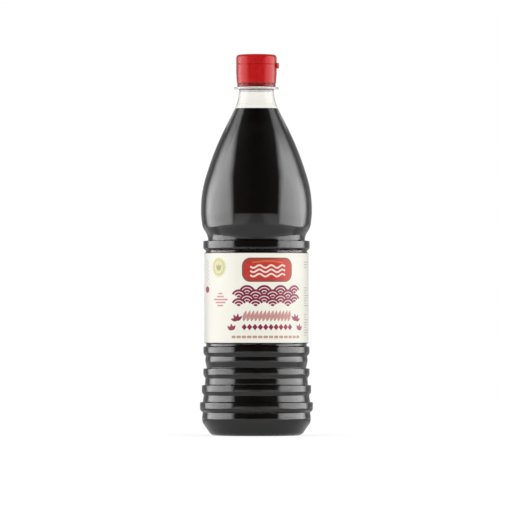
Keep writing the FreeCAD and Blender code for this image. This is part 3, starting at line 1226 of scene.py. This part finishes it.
@dataclass(frozen=True)
class Press:
    """Flat shapes for print, across + 1j * up, in millimetres."""

    cut_step: float = 1.5  # longest run of a shape that is laid round the bottle unbent

    def oval(self, centre: complex, half_w: float, half_h: float, count: int = 56) -> Loop:
        """Closed outline of an oval.

        Args:
            centre: Its middle.
            half_w: Half its width.
            half_h: Half its height.
            count: Number of points.

        Returns:
            The outline.
        """
        turns = [math.tau * k / count for k in range(count)]
        return [centre + complex(half_w * math.cos(t), half_h * math.sin(t)) for t in turns]

    def scallop(self, centre: complex, radius: float, lobes: int, depth: float) -> Loop:
        """Closed outline of a disc with a scalloped edge.

        Args:
            centre: Its middle.
            radius: Its mean radius.
            lobes: Number of scallops.
            depth: How far they go in and out.

        Returns:
            The outline.
        """
        turns = [math.tau * k / (lobes * 6) for k in range(lobes * 6)]
        return [centre + cmath.rect(radius + depth * math.cos(lobes * t), t) for t in turns]

    def band(self, centre: complex, half_w: float, half_h: float, width: float,
             start: float = 0.0, end: float = math.tau, count: int = 48) -> list[Loop]:
        """A band of even width along an oval or a part of it.

        Args:
            centre: The oval's middle.
            half_w: Half of its outer width.
            half_h: Half of its outer height.
            width: Width of the band, inwards.
            start: First angle in radians.
            end: Last angle in radians.
            count: Number of steps.

        Returns:
            Its quads.
        """
        def at(turn: float, inset: float) -> complex:
            """Point of the oval at an angle, drawn in by an inset."""
            return centre + complex((half_w - inset) * math.cos(turn),
                                    (half_h - inset) * math.sin(turn))
        turns = [start + (end - start) * k / count for k in range(count + 1)]
        return [[at(a, 0.0), at(b, 0.0), at(b, width), at(a, width)]
                for a, b in zip(turns, turns[1:])]

    def bar(self, centre: complex, width: float, height: float) -> Loop:
        """Closed outline of a bar with round ends."""
        half = complex(width / 2, height / 2)
        return rounded_box(centre - half, centre + half, min(width, height) * 0.45, 4)

    def leaf(self, root: complex, length: float, width: float, heading: float) -> Loop:
        """Closed outline of a pointed leaf.

        Args:
            root: Where its stalk begins.
            length: Its length.
            width: Its width.
            heading: Its direction in degrees from across.

        Returns:
            The outline.
        """
        turn = cmath.exp(1j * math.radians(heading))
        shares = [k / 12 for k in range(13)]
        bulge = [width / 2 * math.sin(math.pi * s ** 0.85) for s in shares]
        upper = [complex(length * s, b) for s, b in zip(shares, bulge)]
        lower = [complex(length * s, -b) for s, b in zip(shares, bulge)][-2:0:-1]
        return [root + p * turn for p in upper + lower]

    def line(self, points: Sequence[complex], width: float) -> list[Loop]:
        """A drawn line of even width.

        Args:
            points: Points along it.
            width: Its width.

        Returns:
            Its quads.
        """
        ways = [(b - a) / abs(b - a) for a, b in zip(points, points[1:])]
        ways = [ways[0]] + [w + v for w, v in zip(ways, ways[1:])] + [ways[-1]]
        sides = [1j * w / abs(w) * width / 2 for w in ways]
        return [[a - s, b - t, b + t, a + s]
                for a, b, s, t in zip(points, points[1:], sides, sides[1:])]

    def flat(self, name: str, loops: Sequence[Loop], place: complex = 0j) -> bpy.types.Object:
        """A flat mesh of shapes, cut so that it bends round the bottle.

        Args:
            name: The object's name.
            loops: Closed outlines.
            place: What is added to each point.

        Returns:
            The object, in the XY plane.
        """
        work = bmesh.new()
        for loop in loops:
            points = [work.verts.new(((p + place).real * MM, (p + place).imag * MM, 0.0))
                      for p in loop]
            work.faces.new(points)
        bmesh.ops.remove_doubles(work, verts=work.verts, dist=WELD)
        low = min(v.co.x for v in work.verts)
        high = max(v.co.x for v in work.verts)
        step = self.cut_step * MM
        for k in range(math.ceil(low / step), math.floor(high / step) + 1):
            bmesh.ops.bisect_plane(
                work, geom=work.verts[:] + work.edges[:] + work.faces[:], dist=1e-8,
                plane_co=(k * step, 0.0, 0.0), plane_no=(1.0, 0.0, 0.0))
        bmesh.ops.triangulate(work, faces=[f for f in work.faces if len(f.verts) > 4])
        for face in work.faces:
            face.normal_update()
            if face.normal.z < 0:
                face.normal_flip()
        made = mesh_object(name, [])
        work.to_mesh(made.data)
        work.free()
        return made


@dataclass(frozen=True)
class Label:
    """The wrap-round paper label and its plain printed ornament."""

    thickness: float = 0.12
    ink: float = 0.03
    lap: float = 8.0
    lap_ramp: float = 2.0
    lap_gap: float = 0.02
    corner_round: float = 0.4
    sheet_step: float = 2.0
    fan_r: float = 6.4
    fan_w: float = 1.6
    fan_corner: complex = -13.4 + 95.9j
    middle: float = 8.9  # middle of the print, off the front of the bottle

    def wrap(self, flat: bpy.types.Object, material: bpy.types.Material, lift: float,
             thickness: float, **extra: Any) -> bpy.types.Object:
        """Lays a flat mesh round the bottle.

        Args:
            flat: The flat mesh, whose middle line is the front.
            material: Its finish.
            lift: How far its underside is from the inner face of the label.
            thickness: Its thickness.
            **extra: More inputs of the wrapping tree.

        Returns:
            The same object, wrapped.
        """
        values = {"Radius": self.inner_r * MM + lift * MM, "Thickness": thickness * MM,
                  "Material": material}
        return run_tree(flat, WRAP, values | extra)

    @property
    def inner_r(self) -> float:
        """Radius of the inner face, from the label's node."""
        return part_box("label")[1].x / MM - self.thickness

    def sheet(self, paper: CoatedPaper) -> bpy.types.Object:
        """The paper itself, whose far end laps over its start at the back.

        Args:
            paper: The paper's finish.

        Returns:
            The piece.
        """
        low, high = (corner.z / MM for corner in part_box("label"))
        half = math.pi * self.inner_r
        edge = half + self.lap
        outline = rounded_box(complex(-half, low), complex(edge, high), self.corner_round)
        flat = Press(self.sheet_step).flat("label_sheet", [outline])
        start = (edge - self.lap - self.lap_ramp * 2) * MM
        return self.wrap(flat, paper.material(), 0.0, self.thickness, **{
            "Lap Start": start, "Lap End": start + self.lap_ramp * 2 * MM,
            "Lap Rise": (self.thickness + self.lap_gap) * MM})

    def build(self, paper: CoatedPaper) -> list[bpy.types.Object]:
        """Makes the paper and every printed colour on it.

        Args:
            paper: The paper's finish.

        Returns:
            The sheet and the printed pieces.
        """
        press = Press()
        return [self.sheet(paper)] + self.waves(press) + self.fields(press)

    def waves(self, press: Press) -> list[bpy.types.Object]:
        """The band of waves: a common pattern of overlapping fans in rows.

        Args:
            press: The maker of flat shapes.

        Returns:
            The printed pieces.
        """
        radius = self.fan_r
        fan: list[Loop] = []
        for share in (1.0, 0.66, 0.32):
            r = radius * share
            hidden = math.acos((r * r + radius ** 2 / 4) / (r * radius * math.sqrt(5)))
            start = hidden - math.atan(0.5)
            fan += press.band(0j, r, r, self.fan_w, start, math.pi - start, 18)
        ink = PrintInk("burgundy_ink", display(126, 18, 60)).material()
        piece = press.flat("print_waves", fan, self.fan_corner)
        return [self.wrap(piece, ink, self.thickness, self.ink, **{
            "Columns": 4, "Rows": 4, "Column Pitch": 2 * radius * MM,
            "Row Pitch": radius / 2 * MM, "Stagger": 0.5})]

    def inks(self) -> dict[str, bpy.types.Material]:
        """Mixes the printed colours.

        Returns:
            The materials by the short name of their piece.
        """
        mixes = (
            ("brown", "brown_ink", (132, 72, 50), 1.25),
            ("red", "red_ink", (186, 44, 34), 1.25),
            ("orange", "orange_ink", (214, 104, 52), 1.1),
            ("burgundy", "deep_burgundy_ink", (132, 22, 62), 1.25),
            ("rose", "rose_ink", (190, 138, 132), 1.25),
            ("tan", "tan_ink", (184, 150, 134), 1.25),
            ("gold", "gold_ink", (222, 217, 168), 1.1),
            ("olive", "olive_ink", (168, 160, 108), 1.1),
            ("cream", "cream_ink", (248, 226, 216), 1.0),
            ("grey", "grey_ink", (196, 194, 190), 1.1),
        )
        return {key: PrintInk(name, display(*mix), fade).material()
                for key, name, mix, fade in mixes}

    def fields(self, press: Press) -> list[bpy.types.Object]:
        """The plain fields, rules and small ornaments.

        Args:
            press: The maker of flat shapes.

        Returns:
            The printed pieces.
        """
        inks = self.inks()
        shapes: dict[str, list[Loop]] = {key: [] for key in inks}
        for draw in (self.plaque, self.seal, self.rows, self.margins):
            for key, loops in draw(press).items():
                shapes[key] += loops
        layers = {"red": 1, "olive": 1, "orange": 2, "cream": 2}
        return [self.wrap(press.flat(f"print_{key}", loops), inks[key],
                          self.thickness + self.ink * layers.get(key, 0), self.ink)
                for key, loops in shapes.items()]

    def plaque(self, press: Press) -> dict[str, list[Loop]]:
        """A rounded red field with a rim, a low arch and three plain waves.

        Args:
            press: The maker of flat shapes.

        Returns:
            The shapes of each ink.
        """
        centre = complex(self.middle, 123.2)
        fields = {ink: [[centre + p for p in rounded_box(-half, half, rounding, 12)]]
                  for ink, half, rounding in (("brown", 19.8 + 9.0j, 6.4),
                                              ("red", 18.6 + 7.8j, 5.4))}
        arch = [centre + complex(x, 5.2 + 1.2 * math.cos(x / 8.0)) for x in range(-12, 13, 2)]
        crests = [complex(x, math.sin(x * 0.7) - 0.6) for x in (k * 0.6 - 13.5 for k in range(46))]
        waves = [press.line([centre + p + 1j * rise for p in crests], 1.3)
                 for rise in (-3.4, -0.2, 3.0)]
        return fields | {"orange": press.line(arch, 1.2), "cream": sum(waves, [])}

    def seal(self, press: Press) -> dict[str, list[Loop]]:
        """A pale scalloped disc with a thin ring and three leaves.

        Args:
            press: The maker of flat shapes.

        Returns:
            The shapes of each ink.
        """
        seal = -31.3 + 125.2j
        leaves = [press.leaf(seal - 2.6j, 5.0, 2.2, turn) for turn in (60, 90, 120)]
        return {"gold": [press.scallop(seal, 7.2, 18, 0.35)],
                "olive": press.band(seal, 5.6, 5.6, 0.35) + leaves}

    def rows(self, press: Press) -> dict[str, list[Loop]]:
        """The rows under the waves: leaning leaves, sprigs, lozenges and bars.

        Args:
            press: The maker of flat shapes.

        Returns:
            The shapes of each ink.
        """
        leaning = [press.leaf(complex(self.middle - 18.6 + 2.9 * k, 85.0), 8.6, 2.9, 76)
                   for k in range(13)]
        sprigs = [press.leaf(complex(self.middle + out * side, z), length, width,
                             90 - side * turn)
                  for side in (-1, 1)
                  for out, z, length, width, turns in (
                      (23.6, 85.4, 5.6, 2.2, (-48, -8, 34, 74)),
                      (28.0, 78.4, 5.0, 2.4, (-40, 5, 50)))
                  for turn in turns]
        lozenges = [[complex(self.middle - 18.0 + 4.0 * k, 80.8) + p
                     for p in (-2.0, -2.4j, 2.0, 2.4j)] for k in range(10)]
        bars = [press.bar(complex(self.middle - 26.4 + 4.06 * k, 73.5), 3.5, 1.9)
                for k in range(14)]
        return {"rose": leaning, "burgundy": sprigs + lozenges, "tan": bars}

    def margins(self, press: Press) -> dict[str, list[Loop]]:
        """The small marks to the left and right of the print.

        Args:
            press: The maker of flat shapes.

        Returns:
            The shapes of each ink.
        """
        rose = [press.bar(complex(-29.6, z), width, 1.2) for z, width in (
            (105.6, 4.0), (103.4, 7.0), (101.2, 14.0), (99.0, 10.0), (96.8, 6.0))]
        grey = [press.bar(complex(-48.0 + 2.2 * (k % 2), 130.0 - 1.5 * k), 1.4, 1.0)
                for k in range(11)]
        for block, (top, rows) in enumerate(((129.0, 3), (110.0, 8), (90.0, 9))):
            for row in range(rows):
                width = 9.0 - 1.7 * ((row * 5 + block) % 4)
                grey.append(press.bar(complex(44.0 + width / 2, top - 1.9 * row), width, 0.6))
        return {"rose": rose, "grey": grey,
                "burgundy": [press.oval(-47.2 + 108.6j, 3.6, 2.4, 24)]}


# ---- Studio ----

@dataclass(frozen=True)
class Softbox:
    """A large oval softbox beside the bottle, with a bright middle and a soft edge. In metres."""

    distance: float = 1.0
    half_front: float = 0.88  # from the middle to the edge nearer to the camera
    half_back: float = 0.76
    half_h: float = 1.08
    turn: float = 0.035  # how far both boxes are turned about the bottle, as a shift along Y
    strength: float = 4.95
    soft_in: float = 0.74  # share of the half sizes at which the edge begins to fade
    soft_in_back: float = 0.5  # the same away from the camera
    soft_out: float = 1.20
    softer_back: float = 0.05  # how much further the edge away from the camera spreads
    dim_front: float = 0.8  # strength at the edge nearer to the camera
    dim_reach: float = 0.8  # share of the front half at which that strength is reached
    dim_low: float = 0.87  # strength near the table
    low_z: float = 0.03
    full_z: float = 0.20

    @property
    def spread(self) -> float:
        """Size of the card, as a share of the half sizes."""
        return self.soft_out + self.softer_back

    def field(self, graph: Graph, side: Side) -> Socket:
        """Strength of the light over the card.

        Args:
            graph: The card's material graph.
            side: The side that it stands on.

        Returns:
            The strength socket.
        """
        parts = graph.parts(graph.place())
        along = graph.plus(parts["Y"], self.turn * side.value)
        front = graph.maths("LESS_THAN", along, 0.0)

        def pick(ahead: float, behind: float) -> Socket:
            """The first number on the front half of the card, the second on the back half."""
            return graph.plus(graph.times(front, ahead - behind), behind)
        across = graph.maths("DIVIDE", along, pick(self.half_front, self.half_back))
        up = graph.maths("DIVIDE", parts["Z"], self.half_h)
        oval = graph.maths("SQRT", graph.plus(*(
            graph.maths("POWER", value, 2.0) for value in (across, up))))
        mask = graph.mapped(oval, pick(self.soft_in, self.soft_in_back),
                            pick(self.soft_out, self.spread), 1.0, 0.0, smooth=True)
        fade = graph.mapped(across, -self.dim_reach, 0.0,
                            self.strength * self.dim_front, self.strength)
        low = graph.mapped(parts["Z"], self.low_z, self.full_z, self.dim_low, 1.0)
        return graph.times(mask, fade, low)


@dataclass(frozen=True)
class Studio:
    """Floor, soft light and the camera. Nothing here is part of the object. In metres."""

    distance: float = 5.0
    eye: float = 0.09
    aim: float = 0.1348
    offset: float = -0.00145
    field: float = 0.3792  # width of the view at the bottle
    sensor: float = 36.0
    floor_r: float = 6.0
    floor_grey: float = 0.8  # what lights the object
    floor_faint: float = 0.4  # what is seen: a share that keeps the shadow, and a lift
    floor_lift: float = 0.72
    table_z: float = -0.0005  # just under the floor's top
    table_half_w: float = 0.38
    table_reach: float = 2.38
    table_front: float = math.radians(47)
    table_back: float = math.radians(50)
    table_span: float = 3.0  # distance at which the table's levels end
    table_levels: tuple[tuple[float, float], ...] = (
        (0.03, 0.72), (0.9, 0.2), (0.09, 0.75), (0.17, 0.70), (0.30, 0.53))
    surround_r: float = 2.4
    surround_low: float = -2.0
    surround_top: float = 3.2
    dark_front: float = 0.02
    dark_back: float = 0.4
    dark_reach: float = 0.67  # share of the radius behind the bottle where that level begins
    flag_r: float = 0.06
    flag_spread: float = math.radians(62)
    flag_level: float = 0.95
    flag_sunk: float = 0.001
    ambient: float = 0.70
    key: float = 9.5
    key_right: float = 1.1  # power of the right lamp, as a share of the left one's
    key_size: float = 1.4
    key_place: tuple[float, float, float] = (0.9, -2.4, 0.9)

    def card(self, name: str, points: Sequence[Sequence[float]],
             faces: Sequence[Sequence[int]]) -> tuple[bpy.types.Object, Look]:
        """A card that only shines, and that only reflections see.

        Args:
            name: Its name.
            points: Its corners.
            faces: Its faces.

        Returns:
            The card and its look, which has an emission shader.
        """
        made = mesh_object(name, points, faces=faces)
        look = Look(name, "ShaderNodeEmission")
        made.data.materials.append(look.material)
        for ray in ("camera", "diffuse", "transmission", "volume_scatter", "shadow"):
            setattr(made, f"visible_{ray}", False)
        return made, look

    def circle(self, radius: float, z: float, count: int = 96) -> list[Sequence[float]]:
        """Points of a level circle round Z."""
        turns = [math.tau * k / count for k in range(count)]
        return [(radius * math.cos(t), radius * math.sin(t), z) for t in turns]

    def floor(self) -> bpy.types.Object:
        """The plain pale floor, which shows as white and keeps the shadow.

        Returns:
            The floor.
        """
        ring = self.circle(self.floor_r, 0.0)
        made = mesh_object("floor", ring, faces=[tuple(range(len(ring)))])
        made.visible_glossy = False
        look = Look("pale_floor", "ShaderNodeMixShader")
        path = look.add("ShaderNodeLightPath").outputs
        plain, faint = (look.add("ShaderNodeBsdfDiffuse", {"Color": grey(level)}).outputs[0]
                        for level in (self.floor_grey, self.floor_faint))
        white = look.add("ShaderNodeEmission", {"Color": grey(1.0), "Strength": self.floor_lift})
        lifted = look.add("ShaderNodeAddShader", {0: faint, 1: white.outputs[0]})
        made.data.materials.append(look.dress({
            0: look.maths("MAXIMUM", path["Is Camera Ray"], path["Is Transmission Ray"]),
            1: plain, 2: lifted.outputs[0]}))
        return made

    def table(self) -> bpy.types.Object:
        """The white table that reflections see: a strip between the softboxes that widens in front
        of them and behind them. Its painted light fades with distance and is brighter towards the
        softboxes, with a painted contact shadow round the bottle and painted shade behind it.

        Returns:
            The card.
        """
        w, reach, turn = self.table_half_w, self.table_reach, math.tau / 48
        ends = []
        for facing, spread in ((-math.pi / 2, self.table_front), (math.pi / 2, self.table_back)):
            steps = range(-int(spread / turn), int(spread / turn) + 1)
            arc = [reach * cmath.exp(1j * (facing + turn * k)) for k in steps]
            side = complex(w, 0.0) * math.copysign(1.0, -facing)
            near = 1j * w / math.tan(spread) * math.copysign(1.0, facing)
            ends.append([near + side] + arc[::-1] + [near - side])
        front, back = ends
        middle = [front[-1], front[0], back[-1], back[0]]
        points, faces = [], []
        for patch in (front[::-1], middle, back[::-1]):
            faces.append(tuple(range(len(points), len(points) + len(patch))))
            points += [(p.real, p.imag, self.table_z) for p in patch]
        made, look = self.card("table_sheen", points, faces)
        place = look.place()
        parts = look.parts(place)
        far = look.add("ShaderNodeVectorMath", {0: place}, operation="LENGTH").outputs["Value"]
        sideways = look.maths("ABSOLUTE", parts["X"])
        look.dress({
            "Color": look.ramp(look.maths("DIVIDE", far, self.table_span),
                               *((share, grey(level)) for share, level in self.table_levels)),
            # painted light and shade: brighter towards the softboxes, a painted contact shadow
            # within a few centimetres of the bottle, painted shade behind it
            "Strength": look.times(*(
                look.mapped(value, low, high, start, end, smooth=True)
                for value, low, high, start, end in (
                    (sideways, 0.10, w, 1.0, 1.9), (far, 0.030, 0.060, 0.76, 1.0),
                    (parts["Y"], 0.02, 0.07, 1.0, 0.55))))})
        return made

    def surround(self) -> bpy.types.Object:
        """The dark studio round and over the bottle.

        Returns:
            The card.
        """
        points = [p for z in (self.surround_low, self.surround_top)
                  for p in self.circle(self.surround_r, z)]
        count = len(points) // 2
        faces: list[Sequence[int]] = [(k, (k + 1) % count, (k + 1) % count + count, k + count)
                                      for k in range(count)]
        faces += [tuple(range(count)), tuple(range(count, 2 * count))]
        made, look = self.card("dark_surround", points, faces)
        look.dress({"Strength": look.mapped(
            look.parts(look.place())["Y"], -self.surround_r, self.surround_r * self.dark_reach,
            self.dark_front, self.dark_back)})
        return made

    def flag(self) -> bpy.types.Object:
        """A small pale card behind the neck, which keeps the edges of its clear wall light.

        Returns:
            The card.
        """
        low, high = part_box("sauce")[1].z - self.flag_sunk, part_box("cap")[0].z
        steps = 24
        arc = [self.flag_r * cmath.exp(1j * (math.pi / 2 + self.flag_spread * (2 * k / steps - 1)))
               for k in range(steps + 1)]
        points = [(p.real, p.imag, z) for z in (low, high) for p in arc]
        faces = [(k, k + 1, k + steps + 2, k + steps + 1) for k in range(steps)]
        made, look = self.card("neck_flag", points, faces)
        look.dress({"Strength": self.flag_level})
        return made

    def softbox(self, side: Side) -> bpy.types.Object:
        """One softbox beside the bottle.

        Args:
            side: The side that it stands on.

        Returns:
            The card.
        """
        box = Softbox()
        x = box.distance * side.value
        y, z = box.half_front * box.spread, box.half_h * box.spread
        count = 64
        rim = [(x, y * math.cos(math.tau * k / count) - box.turn * side.value,
                z * math.sin(math.tau * k / count)) for k in range(count)]
        made, look = self.card(f"softbox_{side.name.lower()}", rim, [tuple(range(count))])
        look.dress({"Strength": box.field(look, side)})
        clear = look.add("ShaderNodeBsdfTransparent")
        joined = look.add("ShaderNodeAddShader", {0: look.shader.outputs[0], 1: clear.outputs[0]})
        look.feed(look.output.inputs["Surface"], joined.outputs[0])
        return made

    def lamp(self, name: str, place: Vector, size: float, power: float) -> None:
        """A large soft lamp that lights the object and shows in no reflection.

        Args:
            name: Its name.
            place: Where it hangs.
            size: Length of its side.
            power: Its power in watts.
        """
        light = bpy.data.lights.new(name, "AREA")
        light.shape = "SQUARE"
        light.size = size
        light.energy = power
        made = bpy.data.objects.new(name, light)
        made.location = place
        aim = Vector((0.0, 0.0, self.aim)) - place
        made.rotation_euler = aim.to_track_quat("-Z", "Y").to_euler()
        bpy.context.scene.collection.objects.link(made)
        made.visible_camera = False
        made.visible_glossy = False
        made.visible_transmission = False

    def world(self) -> None:
        """A white world for what is seen, and a plain soft level for what lights the object."""
        world = bpy.data.worlds.new("white_studio")
        world.use_nodes = True
        world.node_tree.nodes.clear()
        graph = Graph(world.node_tree)
        path = graph.add("ShaderNodeLightPath").outputs
        seen = graph.maths("MAXIMUM", path["Is Camera Ray"], graph.maths(
            "MAXIMUM", path["Is Glossy Ray"], path["Is Transmission Ray"]))
        soft, white = (graph.add("ShaderNodeBackground", {
            "Color": grey(1.0), "Strength": level}).outputs[0] for level in (self.ambient, 1.0))
        mixed = graph.add("ShaderNodeMixShader", {0: seen, 1: soft, 2: white})
        graph.add("ShaderNodeOutputWorld", {"Surface": mixed.outputs[0]})
        bpy.context.scene.world = world

    def camera(self) -> None:
        """A long lens at about the height of the label, level with the bottle."""
        lens = bpy.data.cameras.new("camera")
        lens.sensor_width = self.sensor
        lens.lens = self.sensor * self.distance / self.field
        lens.clip_end = 40.0
        made = bpy.data.objects.new("camera", lens)
        made.location = (self.offset, -self.distance, self.eye)
        tilt = math.atan2(self.aim - self.eye, self.distance)
        made.rotation_euler = (math.pi / 2 + tilt, 0.0, 0.0)
        bpy.context.scene.collection.objects.link(made)
        bpy.context.scene.camera = made

    def build(self) -> None:
        """Sets up the whole studio."""
        self.camera()
        self.world()
        self.floor()
        self.table()
        self.surround()
        self.flag()
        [self.softbox(side) for side in Side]
        x, y, z = self.key_place
        self.lamp("key_left", Vector((-x, y, z)), self.key_size, self.key)
        self.lamp("key_right", Vector((x, y, z)), self.key_size, self.key * self.key_right)
        bpy.context.scene.view_settings.view_transform = "Standard"


def main() -> None:
    """Builds the pieces in order, then the studio."""
    logging.basicConfig(level=logging.INFO, format="%(name)s %(message)s")
    shell = Shell()
    settle(shell.build(ClearPet()), Slot.SHELL, "bottle")
    settle(Sauce().build(shell, DarkSauce()), Slot.SAUCE, "sauce")
    body, hinge, tab, root, band, bridges = Closure().build(shell, MouldedRed())
    settle(body, Slot.CLOSURE, "cap")
    settle(band, Slot.CLOSURE, "tamper_band")
    for piece in (hinge, tab, root, bridges):
        settle(piece, Slot.CLOSURE)
    sheet, *prints = Label().build(CoatedPaper())
    settle(sheet, Slot.LABEL, "label")
    for piece in prints:
        settle(piece, Slot.LABEL)
    Studio().build()


if __name__ == "__main__":
    main()
